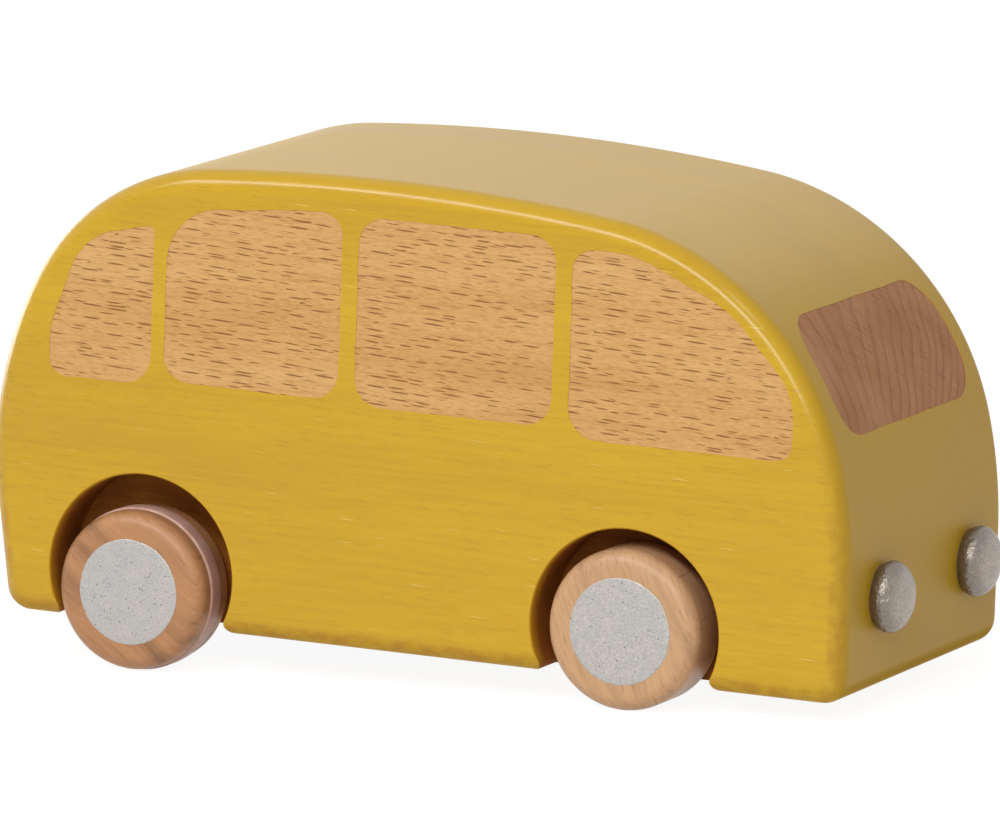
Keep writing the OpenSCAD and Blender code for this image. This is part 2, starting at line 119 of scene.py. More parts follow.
# Headlights
LAMP_RADIUS = 4.95
LAMP_HEIGHT = 4.5
LAMP_RISE = LAMP_HEIGHT / 3
LAMP_DOME = LAMP_HEIGHT - LAMP_RISE
LAMP_ROOT = 1.0
LAMP_OFFSET = 15.6
LAMP_LEVEL = 13.4
LAMP_STEPS = 30
LAMP_SEGMENTS = 96
LAMP_DENT = 0.02
DENT_PITCH = 420.0  # per metre

# Bare windows: corners as X, Z and rounding radius in the block's side view, from the tail forward
SIDE_WINDOWS = [
    [(-54.8, 33.45, 2.6), (-39.5, 33.5, 4.0), (-39.5, 55.55, 0.9), (-50.3, 53.0, 8.5), (-54.9, 40.1, 9.0)],
    [(-37.6, 34.3, 3.6), (-11.35, 34.1, 4.0), (-11.35, 59.8, 3.2), (-19.0, 59.5, 20.0), (-37.5, 57.8, 8.0)],
    [(-8.95, 33.7, 3.9), (20.1, 33.7, 3.7), (20.15, 59.5, 3.7), (-8.95, 59.6, 3.8)],
    [(22.6, 32.5, 4.2), (55.25, 32.45, 2.3), (55.25, 41.7, 10.0), (45.3, 52.15, 18.0), (31.3, 58.3, 14.0),
     (22.55, 58.3, 3.0)],
]
WINDSCREEN_SILL = 35.2
WINDSCREEN_HEIGHT = 15.3
WINDSCREEN_REACH = 22.75
WINDSCREEN_CORNER = 5.4
WINDSCREEN_SEED = 77.0
WINDOW_SEED_STEP = 5.0
SIDE_SEED_STEP = 31.0

# Paint edges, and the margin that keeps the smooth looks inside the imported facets
PAINT_STEP = 0.05
SKIN = 0.03
ROUNDING_STEPS = 10
MASK_STEP = 0.4
MASK_WAVER = 0.06
DRIFT_SHARE = 1.6
DRIFT_PITCH = (0.25, 0.25)
FINE_PITCH = (1.3, 2.6)
FINE_SEED = 9.0

# Degrees above which an edge is drawn crisp
CUT_SHARP = 30
TURNED_SHARP = 40
PACKED_SHARP = 35

# The wood's grain in the block
GRAIN_SLOPE = 0.05
RING_LEVEL = 36.0
PAINT_RING_SPACING = 2.6
BROAD_RING_SPACING = 2.5
FAINT_RING_SPACING = 0.8
FAINT_RING_SHIFT = (31.0, 0.7, 2.0)
SAW_ALONG = 0.9
SAW_ACROSS = 0.45

# Colours, linear. A list of pairs is a ramp of levels and colours. A streak's colours are factors.
WHITE = (1, 1, 1)
PAINT_TONES = [(0.25, (0.57, 0.33, 0.0085)), (0.5, (0.615, 0.365, 0.0105)), (0.75, (0.65, 0.395, 0.014))]
PAINT_STREAK = [(0.3, (0.9, 0.885, 0.82)), (0.52, WHITE), (0.75, (1.05, 1.06, 1.1))]
PAINT_FLECK = (0.36, 0.185, 0.006)
PAINT_PORE = (0.4, 0.22, 0.01)
PAINT_RUBBED = (0.86, 0.68, 0.2)
# Darker paint of the end faces: paint soaked into the end grain, and partly painted shade
END_PAINT_AND_SHADE = (0.5, 0.283, 0.009)
PAINT_RING = (0.4, 0.2, 0.006)
PAINT_WORN = (0.42, 0.16, 0.012)
BARE_TONES = [(0.3, (0.61, 0.325, 0.103)), (0.5, (0.665, 0.37, 0.127)), (0.72, (0.71, 0.41, 0.152))]
BARE_STREAK = [(0.3, (0.84, 0.78, 0.69)), (0.5, WHITE), (0.72, (1.05, 1.07, 1.12))]
BARE_GRIT = [(0.34, (0.84, 0.79, 0.7)), (0.55, WHITE), (0.75, (1.05, 1.06, 1.08))]
BARE_LARGE_FLECK = (0.22, 0.075, 0.009)
BARE_SMALL_FLECK = (0.3, 0.11, 0.02)
END_TONES = [(0.3, (0.45, 0.203, 0.089)), (0.55, (0.525, 0.25, 0.116)), (0.75, (0.588, 0.296, 0.146))]
END_BROAD_RING = (0.22, 0.075, 0.028)
END_FAINT_RING = (0.25, 0.09, 0.035)
END_PORE = (0.2, 0.07, 0.028)
END_SAW_MARK = (0.22, 0.08, 0.03)
BORED_TONES = [(0.3, (0.24, 0.075, 0.008)), (0.55, (0.33, 0.11, 0.013)), (0.8, (0.41, 0.15, 0.02))]
BORED_STREAK = [(0.3, (0.72, 0.68, 0.62)), (0.55, WHITE), (0.8, (1.16, 1.14, 1.1))]
BORED_PORE = (0.09, 0.03, 0.005)
BORED_SPRAY = (0.56, 0.29, 0.011)
WHEEL_STREAK = [(0.3, (0.82, 0.77, 0.7)), (0.52, WHITE), (0.75, (1.07, 1.08, 1.1))]
WHEEL_FLECK = (0.28, 0.11, 0.035)
WHEEL_PORE = (0.32, 0.15, 0.07)
HUB_SILVER = ((0.39, 0.375, 0.36), (0.615, 0.595, 0.57))
LAMP_SILVER = ((0.275, 0.235, 0.2), (0.51, 0.44, 0.38))
SILVER_CLOUD = [(0.35, (0.95, 0.95, 0.97)), (0.65, (1.04, 1.02, 1.0))]
SILVER_PIT = (0.1, 0.085, 0.075)
RUBBER_TONES = [(0.3, (0.55, 0.31, 0.24)), (0.7, (0.68, 0.44, 0.36))]
RUBBER_DUST = (0.62, 0.5, 0.45)

# Each wheel's grain: its lean in degrees, its seed, its colour and the contrast of its bands
WHEEL_GRAIN = {
    ("front", -1): (66.0, 4.0, (0.6, 0.355, 0.185), 0.18),
    ("front", 1): (12.0, 23.0, (0.62, 0.36, 0.185), 0.2),
    ("rear", -1): (38.0, 37.0, (0.45, 0.218, 0.097), 0.36),
    ("rear", 1): (81.0, 51.0, (0.56, 0.3, 0.15), 0.28),
}

# The stage: a floor of millimetres, and light and camera in metres
FLOOR_REACH = 6000.0
FLOOR_GLOW = 0.92
FLOOR_SHADOW_GREY = 0.2
FLOOR_BOUNCE_GREY = 0.8
SKY_LEVEL = 0.31
LIGHT_TARGET = (0, 0, 0.035)
LIGHT_DISTANCE = 1.2
LIGHTS = {  # direction from the bus, direction of the long side, size and power
    "key": ((-0.0445, -0.779, 0.6257), (0.895, -0.2446, -0.3747), (1.9, 0.2), 12.2),
    "front fill": ((0.435, -0.5, 0.74), (1.0, 0.0, -0.59), (0.15, 0.15), 0.6),
    "rear fill": ((-0.9, 0.43, 0.07), (0.43, 0.9, 0.0), (0.9, 0.25), 5.5),
}
CAMERA_AT = (0.6619085, -1.481681, 0.289490)
CAMERA_RIGHT = (0.91262025, 0.40880836, 0.0)
CAMERA_UP = (-0.06359933, 0.1419786, 0.98782448)
CAMERA_LENS = 432
CAMERA_SENSOR = 36
CAMERA_CLIP_END = 20

half_width = BODY_WIDTH / 2
front_end = BODY_LENGTH / 2
wheel_inner = half_width + WHEEL_PROUD - WHEEL_WIDTH
arch_floor = wheel_inner - WHEEL_GAP
front_arch = np.array([front_end - FRONT_OVERHANG, ARCH_LEVEL])
rear_arch = front_arch - np.array([ARCH_SPACING, 0])
rear_shaft = rear_arch - np.array([REAR_AXLE_SETBACK, REAR_AXLE_DROP])

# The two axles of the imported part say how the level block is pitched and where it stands
shaft_at = {j["name"]: np.array(j["pos_m"])[[0, 2]] / MM for j in frame["joints"]}
front_axle_at = shaft_at["front_axle_spin"]
rear_axle_at = shaft_at["rear_axle_spin"]
level_line = front_arch - rear_shaft
world_line = front_axle_at - rear_axle_at
pitch = math.atan2(level_line[1], level_line[0]) - math.atan2(world_line[1], world_line[0])
turn = Matrix.Rotation(pitch, 4, "Y")
turned_arch = turn @ Vector((front_arch[0], 0, front_arch[1]))
place = Vector((front_axle_at[0] - turned_arch.x, 0, front_axle_at[1] - turned_arch.z))
on_wheels = Matrix.Translation(place) @ turn


def in_metres(matrix):
    """A move worked out in millimetres, as it acts on a mesh in metres."""
    return Matrix.Scale(MM, 4) @ matrix @ Matrix.Scale(1 / MM, 4)


def direction(degrees):
    angle = math.radians(degrees)
    return np.array([math.cos(angle), math.sin(angle)])


def arc(centre, radius, start, end, steps):
    """Points along an arc, both ends included, in degrees."""
    return [np.asarray(centre) + radius * direction(a) for a in np.linspace(start, end, steps + 1)]


# The side outline of the block


def arc_chain():
    """Centres and radii of the five arcs of the side outline, fitted to the block's length and height."""
    centres = [np.zeros(2)]
    for i in range(BROW, TAIL + 1):
        centres.append(centres[-1] + (ARC_RADII[i - 1] - ARC_RADII[i]) * direction(ARC_ENDS[i]))
    scale = BODY_LENGTH / (ARC_RADII[NOSE] - centres[TAIL][0] + ARC_RADII[TAIL])
    radii = [r * scale for r in ARC_RADII]
    shift = np.array([front_end - radii[NOSE], BODY_HEIGHT - radii[ROOF] - centres[ROOF][1] * scale])
    return [c * scale + shift for c in centres], radii


arc_centres, arc_radii = arc_chain()


def outline(inset):
    """The block's side outline, set in by a margin, from the front corner over the roof to the rear."""
    tail_end = ARC_ENDS[-1]
    out = direction(tail_end)
    foot = arc_centres[TAIL] + arc_radii[TAIL] * out
    rear_x = foot[0] - (CORNER_RADIUS + (CORNER_RADIUS - foot[1]) * out[1]) / out[0]
    corner = CORNER_RADIUS - inset
    points = arc((front_end - CORNER_RADIUS, CORNER_RADIUS), corner, -90, 0, CORNER_STEPS)
    for i, steps in enumerate(ARC_STEPS):
        stretch = arc(arc_centres[i], arc_radii[i] - inset, ARC_ENDS[i], ARC_ENDS[i + 1], steps)
        points += stretch if i == TAIL else stretch[:-1]
    return points + arc((rear_x, CORNER_RADIUS), corner, tail_end, 270, CORNER_STEPS)


# Meshes


def add_mesh(name, points, faces, materials=(), ids=None, smooth=True):
    """A new object from points in millimetres."""
    mesh = bpy.data.meshes.new(name)
    mesh.from_pydata([tuple(float(v) * MM for v in p) for p in points], [], faces)
    for material in materials:
        mesh.materials.append(material)
    if ids is not None:
        mesh.polygons.foreach_set("material_index", ids)
    mesh.polygons.foreach_set("use_smooth", [smooth] * len(mesh.polygons))
    mesh.update()
    piece = bpy.data.objects.new(name, mesh)
    bpy.context.scene.collection.objects.link(piece)
    return piece


def tube_faces(ring, count):
    """Quads between rings of points, and a cap on each end."""
    faces = [tuple(range(ring - 1, -1, -1))]
    for j in range(count - 1):
        for k in range(ring):
            m = (k + 1) % ring
            faces.append((j * ring + k, j * ring + m, (j + 1) * ring + m, (j + 1) * ring + k))
    faces.append(tuple(range((count - 1) * ring, count * ring)))
    return faces


def add_block(name, inset, materials):
    """The rounded block, set in by a margin: rings of its outline from the right side to the left."""
    turns = np.radians(np.linspace(0, 90, RIM_STEPS + 1))
    edge = EDGE_RADIUS - inset
    side = half_width - inset
    rings = [(edge * (1 - math.sin(t)), -side + edge * (1 - math.cos(t))) for t in turns]
    rings += [(depth, -y) for depth, y in reversed(rings)]
    points = [(p[0], y, p[1]) for depth, y in rings for p in outline(inset + depth)]
    return face_outwards(add_mesh(name, points, tube_faces(len(outline(inset)), len(rings)), materials))


def add_prism(name, rings, materials, wall, ends):
    """A closed solid through rings of points, with one material on its wall and one on its two ends."""
    faces = tube_faces(len(rings[0]), len(rings))
    ids = [ends] + [wall] * (len(faces) - 2) + [ends]
    piece = add_mesh(name, [p for r in rings for p in r], faces, materials, ids, smooth=False)
    piece.data.validate()
    return face_outwards(piece)


def face_outwards(piece):
    """Turns the faces of a closed mesh so that they all look outwards."""
    mesh = piece.data
    volume = 0.0
    mesh.calc_loop_triangles()
    for triangle in mesh.loop_triangles:
        a, b, c = (mesh.vertices[i].co for i in triangle.vertices)
        volume += a.dot(b.cross(c))
    if volume < 0:
        mesh.flip_normals()
    return piece


def carve(piece, cutters):
    """Cuts closed solids out of a piece, takes the cut mesh as the piece's own, and drops the cutters."""
    for cutter in cutters:
        cut = piece.modifiers.new(cutter.name, "BOOLEAN")
        cut.operation = "DIFFERENCE"
        cut.solver = "EXACT"
        cut.object = cutter
    bpy.context.view_layer.update()
    solid = piece.evaluated_get(bpy.context.evaluated_depsgraph_get())
    carved = bpy.data.meshes.new_from_object(solid)
    piece.modifiers.clear()
    piece.data = carved
    for cutter in cutters:
        bpy.data.objects.remove(cutter)
    return piece


def shade(piece, sharp_degrees):
    """Smooth shading with crisp edges, flat faces kept flat."""
    mesh = piece.data
    mesh.polygons.foreach_set("use_smooth", [True] * len(mesh.polygons))
    mesh.set_sharp_from_angle(angle=math.radians(sharp_degrees))
    weighted = piece.modifiers.new("flat faces", "WEIGHTED_NORMAL")
    weighted.keep_sharp = True
    return piece


def rounded(corners):
    """A closed outline through corners given as x, y and rounding radius."""
    points = []
    for i, (x, y, r) in enumerate(corners):
        here = np.array([x, y])
        before = np.array(corners[i - 1][:2]) - here
        after = np.array(corners[(i + 1) % len(corners)][:2]) - here
        before /= np.linalg.norm(before)
        after /= np.linalg.norm(after)
        half = math.acos(np.clip(before @ after, -1, 1)) / 2
        middle = (before + after) / np.linalg.norm(before + after)
        centre = here + middle * r / math.sin(half)
        first = here + before * r / math.tan(half) - centre
        last = here + after * r / math.tan(half) - centre
        start = math.atan2(first[1], first[0])
        sweep = math.remainder(math.atan2(last[1], last[0]) - start, 2 * math.pi)
        for t in np.linspace(0, 1, ROUNDING_STEPS + 1):
            points.append(centre + r * direction(math.degrees(start + sweep * t)))
    return points


def resampled(points):
    """Points at even steps along a closed outline."""
    loop = np.array(points + points[:1])
    lengths = np.linalg.norm(np.diff(loop, axis=0), axis=1)
    at = np.concatenate([[0], np.cumsum(lengths)])
    places = np.linspace(0, at[-1], int(at[-1] / MASK_STEP), endpoint=False)
    return np.stack([np.interp(places, at, loop[:, k]) for k in range(2)], axis=1)


def noise_along(loop, scale, seed):
    return np.array([noise.noise(Vector((p[0] * scale[0], p[1] * scale[1], seed))) for p in loop])


def hand_masked(points, seed):
    """The outline as a hand-cut mask leaves it: a slow drift and a fine waver."""
    loop = resampled(points)
    tangent = np.roll(loop, -1, axis=0) - np.roll(loop, 1, axis=0)
    normal = np.stack([tangent[:, 1], -tangent[:, 0]], axis=1)
    normal /= np.linalg.norm(normal, axis=1)[:, None]
    drift = noise_along(loop, DRIFT_PITCH, seed)
    fine = noise_along(loop, FINE_PITCH, seed + FINE_SEED)
    shift = MASK_WAVER * (drift * DRIFT_SHARE + fine)
    return loop + normal * shift[:, None]


# Material building


class Shader:
    """A material built by short calls. A value that is a socket is linked, any other is set."""

    def __init__(self, name):
        self.material = bpy.data.materials.new(name)
        self.material.use_nodes = True
        self.tree = self.material.node_tree
        self.surface = self.tree.nodes["Principled BSDF"]

    def put(self, socket, value):
        if isinstance(value, bpy.types.NodeSocket):
            self.tree.links.new(value, socket)
        else:
            socket.default_value = value

    def add(self, kind, inputs, **settings):
        node = self.tree.nodes.new(kind)
        for key, value in settings.items():
            setattr(node, key, value)
        for key, value in inputs.items():
            self.put(node.inputs[key], value)
        return node

    def set(self, **values):
        """Sets or links inputs of the surface, named as in base_color for Base Color."""
        for key, value in values.items():
            self.put(self.surface.inputs[key.replace("_", " ").title().replace("Ior", "IOR")], value)

    def place_of(self, origin=(0, 0, 0), rotation=(0, 0, 0)):
        """The object's own coordinates in millimetres, seen from a turned and moved frame."""
        coords = self.tree.nodes.new("ShaderNodeTexCoord").outputs["Object"]
        inputs = {"Vector": coords, "Location": origin, "Rotation": rotation, "Scale": (MM,) * 3}
        return self.add("ShaderNodeMapping", inputs, vector_type="TEXTURE").outputs[0]

    def facing(self):
        """The object's own surface normal, as X, Y and Z."""
        return self.split(self.tree.nodes.new("ShaderNodeTexCoord").outputs["Normal"])

    def stretch(self, vector, scale, shift=(0, 0, 0)):
        inputs = {0: vector, 1: scale, 2: shift}
        return self.add("ShaderNodeVectorMath", inputs, operation="MULTIPLY_ADD").outputs[0]

    def vector(self, operation, a, b):
        return self.add("ShaderNodeVectorMath", {0: a, 1: b}, operation=operation).outputs[0]

    def length(self, vector):
        return self.add("ShaderNodeVectorMath", {0: vector}, operation="LENGTH").outputs["Value"]

    def split(self, vector):
        return self.add("ShaderNodeSeparateXYZ", {0: vector}).outputs

    def join(self, x, z):
        return self.add("ShaderNodeCombineXYZ", {0: x, 2: z}).outputs[0]

    def math(self, operation, a, b=0.0, c=0.0):
        return self.add("ShaderNodeMath", {0: a, 1: b, 2: c}, operation=operation).outputs[0]

    def plus(self, a, b):
        return self.math("ADD", a, b)

    def minus(self, a, b):
        return self.math("SUBTRACT", a, b)

    def times(self, a, b):
        return self.math("MULTIPLY", a, b)

    def times_plus(self, a, b, c):
        return self.math("MULTIPLY_ADD", a, b, c)

    def noise(self, vector, scale=1.0, detail=2.0, roughness=0.5):
        inputs = {"Vector": vector, "Scale": scale, "Detail": detail, "Roughness": roughness}
        return self.add("ShaderNodeTexNoise", inputs).outputs["Fac"]

    def noise_vector(self, vector, scale, detail=1.0):
        """A noise with three parts, each about zero."""
        node = self.add("ShaderNodeTexNoise", {"Vector": vector, "Scale": scale, "Detail": detail})
        return self.vector("SUBTRACT", node.outputs["Color"], (0.5, 0.5, 0.5))

    def cells(self, vector, randomness=1.0):
        inputs = {"Vector": vector, "Scale": 1.0, "Randomness": randomness}
        return self.add("ShaderNodeTexVoronoi", inputs).outputs

    def band(self, value, low, high, to=(0.0, 1.0)):
        """A smooth step from one level to another, as a value goes from low to high."""
        inputs = {"Value": value, "From Min": low, "From Max": high, "To Min": to[0], "To Max": to[1]}
        return self.add("ShaderNodeMapRange", inputs, interpolation_type="SMOOTHSTEP").outputs[0]

    def specks(self, vector, scale, low, high):
        """A mask of small spots where a fine noise is high."""
        return self.band(self.noise(vector, scale, roughness=0.6), low, high)

    def ramp(self, value, stops):
        node = self.add("ShaderNodeValToRGB", {0: value})
        elements = node.color_ramp.elements
        while len(elements) < len(stops):
            elements.new(0.5)
        for element, (position, colour) in zip(elements, stops):
            element.position = position
            element.color = (*colour, 1)
        return node.outputs[0]

    def mix(self, share, a, b, blend="MIX"):
        node = self.add("ShaderNodeMix", {0: share}, data_type="RGBA", blend_type=blend)
        for socket, value in ((node.inputs[6], a), (node.inputs[7], b)):
            self.put(socket, value if isinstance(value, bpy.types.NodeSocket) else (*value, 1))
        return node.outputs[2]

    def tint(self, colour, mask, share, over):
        """A colour with another laid over it where a mask is 1, up to a share."""
        return self.mix(self.times(mask, share), colour, over)

    def streak(self, colour, share, value, factors):
        """A colour made darker and lighter by a ramp of factors."""
        return self.mix(share, colour, self.ramp(value, factors), "MULTIPLY")

    def bump(self, height, distance, strength, normal=None):
        inputs = {"Height": height, "Distance": distance * MM, "Strength": strength}
        if normal is not None:
            inputs["Normal"] = normal
        return self.add("ShaderNodeBump", inputs).outputs[0]


def scaled(colour, factor):
    return tuple(c * factor for c in colour)


def block_shader(name):
    """A shader and the level block's own coordinates in millimetres, fibre along X."""
    s = Shader(name)
    return s, s.place_of(tuple(place * MM), (0, pitch, 0))


def turned_shader(name, lean, seed):
    """A shader and a turned piece's own coordinates, leaning, and moved on so that no two match."""
    s = Shader(name)
    return s, s.vector("ADD", s.place_of(rotation=(0, math.radians(lean), 0)), (seed,) * 3)


def dashes(s, at, size, spread, seed, chance):
    """A mask of short dashes along the fibre, such as the wood's rays where they are cut across.

    size is a dash's half length and half height, spread the steps between dashes along the fibre and
    across it, and chance the share of the dashes that shows.
    """
    warp = s.stretch(s.noise_vector(at, scale=0.16), (1.2, 0.0, 0.2))
    x, _, z = s.split(s.vector("ADD", at, warp))
    tilted = s.times_plus(x, GRAIN_SLOPE, z)
    grid = s.stretch(s.join(x, tilted), (1 / spread[0], 0, 1 / spread[1]), (seed,) * 3)
    cell = s.cells(grid, randomness=0.9)
    offset = s.vector("SUBTRACT", grid, cell["Position"])
    shape = s.stretch(offset, (spread[0] / size[0], 0, spread[1] / size[1]))
    pick = s.split(cell["Color"])
    fullness = s.times_plus(pick[0], 0.7, 0.5)
    dash = s.band(s.math("DIVIDE", s.length(shape), fullness), 1.0, 0.55)
    shown = s.band(pick[1], 1 - chance, 1 - chance + 0.12)
    return s.times(dash, shown)


def growth_rings(s, at, spacing):
    """A saw-tooth across the growth rings, which stand upright at the right and lean over to the left."""
    sway = s.stretch(s.noise_vector(at, scale=0.09, detail=2.0), (0.0, 3.2, 3.2))
    drawn_out = s.vector("MULTIPLY", at, (0.06, 1, 1))
    _, y, z = s.split(s.vector("ADD", drawn_out, sway))
    lean = s.band(y, -24.0, 10.0, to=(0.0, 0.9))
    across = s.minus(y, s.times(s.minus(z, RING_LEVEL), lean))
    return s.math("FRACT", s.times(across, 1 / spacing))


def fibres(s, at, across=1.7, along=0.055):
    """A noise drawn out along the fibre."""
    return s.noise(s.stretch(at, (along, across, across)), detail=4.0, roughness=0.62)


# Materials of the block


def paint_colour(s, at, facing, side, end, flecks, tone, fibre):
    """Streaks, flecks, pores and rubbed marks on the sides; on the ends a darker tone, part soaked end grain
    and part painted shade, and faint rings; worn lower edges.
    """
    outward = s.math("ABSOLUTE", facing[1])
    colour = s.ramp(tone, PAINT_TONES)
    colour = s.streak(colour, s.times_plus(side, 0.55, 0.2), fibre, PAINT_STREAK)
    colour = s.tint(colour, flecks, 0.22, PAINT_FLECK)
    pores = s.times(side, dashes(s, at, size=(0.8, 0.08), spread=(3.1, 0.7), seed=17.1, chance=0.5))
    colour = s.tint(colour, pores, 0.2, PAINT_PORE)
    rubbed = s.times(side, dashes(s, at, size=(1.3, 0.07), spread=(9.5, 3.6), seed=41.7, chance=0.4))
    colour = s.tint(colour, rubbed, 0.5, PAINT_RUBBED)
    # The end faces get darker paint: part soaked end grain, part painted shade on the front face
    colour = s.tint(colour, end, 0.75, END_PAINT_AND_SHADE)
    late = s.band(growth_rings(s, at, PAINT_RING_SPACING), 0.5, 1.0)
    upright = s.band(s.math("ABSOLUTE", facing[0]), 0.8, 0.98)
    colour = s.tint(colour, s.times(late, upright), 0.06, PAINT_RING)
    edge = s.times(s.band(outward, 0.3, 0.6), s.band(outward, 0.995, 0.93))
    low = s.band(s.split(at)[2], 42.0, 8.0)
    patchy = s.band(s.noise(at, scale=0.5, detail=3.0), 0.35, 0.65)
    return s.tint(colour, s.times(s.times(edge, low), patchy), 0.4, PAINT_WORN)


def paint_gloss(s, facing, side, end, tone, fibre):
    """Roughness: streaky on the sides, duller on the ends and the roof, and dull on the underside."""
    streaky = s.times_plus(s.minus(fibre, 0.5), side, 0.5)
    gloss = s.band(s.times_plus(tone, 0.5, streaky), 0.4, 1.1, to=(0.18, 0.26))
    gloss = s.plus(gloss, s.times(end, 0.26))
    gloss = s.plus(gloss, s.band(facing[2], 0.7, 1.0, to=(0.0, 0.11)))
    return s.plus(gloss, s.band(facing[2], -0.1, -0.6, to=(0.0, 0.4)))


def paint_material():
    """Thin yellow paint on beech, with the fibre showing through on the sides."""
    s, at = block_shader("yellow paint")
    facing = s.facing()
    side = s.band(s.math("ABSOLUTE", facing[1]), 0.6, 0.97)
    end = s.band(s.math("ABSOLUTE", facing[0]), 0.45, 0.85)
    tone = s.noise(s.stretch(at, (0.012, 0.09, 0.09)), detail=3.0, roughness=0.55)
    fibre = fibres(s, at)
    fine_fibre = fibres(s, at, across=5.5, along=0.11)
    flecks = s.times(side, dashes(s, at, size=(1.5, 0.15), spread=(4.2, 1.0), seed=3.3, chance=0.6))
    colour = paint_colour(s, at, facing, side, end, flecks, tone, fibre)
    height = s.plus(s.times(fibre, 0.5), s.times(fine_fibre, 0.35))
    height = s.minus(height, s.times(flecks, 0.3))
    height = s.times(height, s.times_plus(side, 0.85, 0.15))
    grain = s.bump(height, distance=0.03, strength=0.4)
    brushed = s.bump(s.noise(at, scale=1.6), distance=0.015, strength=0.3, normal=grain)
    gloss = paint_gloss(s, facing, side, end, tone, fibre)
    s.set(base_color=colour, roughness=gloss, ior=1.43, normal=brushed)
    return s.material


def bare_wood_material():
    """Bare beech with the fibre along the bus: warm streaks and rows of dark ray flecks."""
    s, at = block_shader("bare beech")
    tone = s.noise(s.stretch(at, (0.014, 0.1, 0.13)), detail=3.0, roughness=0.6)
    fibre = fibres(s, at, across=2.4, along=0.09)
    grit = fibres(s, at, across=5.0, along=0.9)
    colour = s.ramp(tone, BARE_TONES)
    colour = s.streak(colour, 0.7, fibre, BARE_STREAK)
    colour = s.streak(colour, 0.8, grit, BARE_GRIT)
    large = dashes(s, at, size=(1.65, 0.125), spread=(3.9, 0.85), seed=3.3, chance=0.76)
    small = dashes(s, at, size=(0.8, 0.08), spread=(2.6, 0.6), seed=11.9, chance=0.45)
    colour = s.tint(colour, large, 0.88, BARE_LARGE_FLECK)
    colour = s.tint(colour, small, 0.5, BARE_SMALL_FLECK)
    height = s.minus(s.times_plus(grit, 0.5, fibre), s.times(large, 0.5))
    s.set(base_color=colour, roughness=0.62, ior=1.43, normal=s.bump(height, distance=0.04, strength=0.5))
    return s.material


def saw_marks(s, at):
    """Patches of short slanting marks that a saw leaves across the end grain."""
    _, y, z = s.split(at)
    along = s.minus(s.times(y, SAW_ALONG), s.times(z, SAW_ACROSS))
    over = s.plus(s.times(y, SAW_ACROSS), s.times(z, SAW_ALONG))
    marks = dashes(s, s.join(along, over), size=(1.9, 0.12), spread=(4.0, 0.9), seed=8.0, chance=0.6)
    return s.times(marks, s.band(s.noise(at, scale=0.14, detail=1.0), 0.42, 0.6))


def end_grain_material():
    """Bare end grain: growth rings in relief, pores, and short slanting marks of the saw."""
    s, at = block_shader("beech end grain")
    late = s.band(growth_rings(s, at, BROAD_RING_SPACING), 0.55, 0.97)
    faint = s.band(growth_rings(s, s.vector("ADD", at, FAINT_RING_SHIFT), FAINT_RING_SPACING), 0.5, 1.0)
    tone = s.noise(s.stretch(at, (0.05, 0.14, 0.1)), detail=3.0, roughness=0.6)
    strength = s.band(s.noise(at, scale=0.16), 0.3, 0.65, to=(0.1, 0.42))
    colour = s.ramp(tone, END_TONES)
    colour = s.tint(colour, late, strength, END_BROAD_RING)
    colour = s.tint(colour, faint, 0.14, END_FAINT_RING)
    pores = s.specks(at, 5.2, 0.6, 0.74)
    colour = s.tint(colour, pores, 0.3, END_PORE)
    saw = saw_marks(s, at)
    colour = s.tint(colour, saw, 0.35, END_SAW_MARK)
    height = s.times_plus(s.noise(at, scale=1.1, detail=3.0), 0.7, s.times(late, -0.8))
    height = s.minus(height, s.plus(s.times(pores, 0.3), s.times(saw, 0.6)))
    s.set(base_color=colour, roughness=0.7, ior=1.36, normal=s.bump(height, distance=0.14, strength=0.7))
    return s.material


def raw_wood_material():
    """The bored wood in arches and pockets: brown, with turning marks and paint sprayed in at the rim."""
    s, at = block_shader("bored wood")
    tone = s.noise(s.stretch(at, (0.1, 0.1, 0.16)), detail=3.0, roughness=0.6)
    fibre = fibres(s, at, across=3.0, along=0.12)
    colour = s.streak(s.ramp(tone, BORED_TONES), 0.8, fibre, BORED_STREAK)
    marks = s.noise(s.stretch(at, (0.1, 2.6, 0.1)))
    pores = s.specks(at, 4.0, 0.6, 0.74)
    colour = s.tint(colour, pores, 0.35, BORED_PORE)
    depth = s.minus(half_width, s.math("ABSOLUTE", s.split(at)[1]))
    spray = s.band(s.times_plus(tone, 2.4, depth), 4.2, 1.2)
    colour = s.tint(colour, spray, 0.85, BORED_SPRAY)
    height = s.minus(s.times_plus(marks, 0.8, fibre), s.times(pores, 0.4))
    relief = s.bump(height, distance=0.08, strength=0.6)
    s.set(base_color=colour, roughness=0.75, specular_ior_level=0.2, normal=relief)
    return s.material


# Materials of the small pieces


def wheel_wood_material(name, lean, seed, tint, contrast):
    """Turned beech: the fibre runs across the wheel at a slant, with broad bands and fine pores."""
    s, at = turned_shader(name, lean, seed)
    sway = s.stretch(s.noise_vector(at, scale=0.1), (0.0, 1.0, 2.6))
    bent = s.vector("ADD", at, sway)
    bands = s.noise(s.stretch(bent, (0.015, 0.22, 0.33)), detail=3.0, roughness=0.6)
    fibre = fibres(s, bent, across=2.2, along=0.11)
    dark = scaled(tint, 1 - contrast)
    light = scaled(tint, 1 + contrast / 2)
    colour = s.ramp(bands, [(0.32, dark), (0.5, tint), (0.68, light)])
    colour = s.streak(colour, 0.75, fibre, WHEEL_STREAK)
    flecks = dashes(s, bent, size=(1.1, 0.09), spread=(3.2, 0.9), seed=seed, chance=0.45)
    colour = s.tint(colour, flecks, 0.5, WHEEL_FLECK)
    colour = s.tint(colour, s.specks(at, 4.6, 0.63, 0.75), 0.25, WHEEL_PORE)
    height = s.minus(fibre, s.times(flecks, 0.5))
    gloss = s.band(fibre, 0.3, 0.7, to=(0.34, 0.46))
    s.set(base_color=colour, roughness=gloss, ior=1.46, normal=s.bump(height, distance=0.045, strength=0.5))
    return s.material


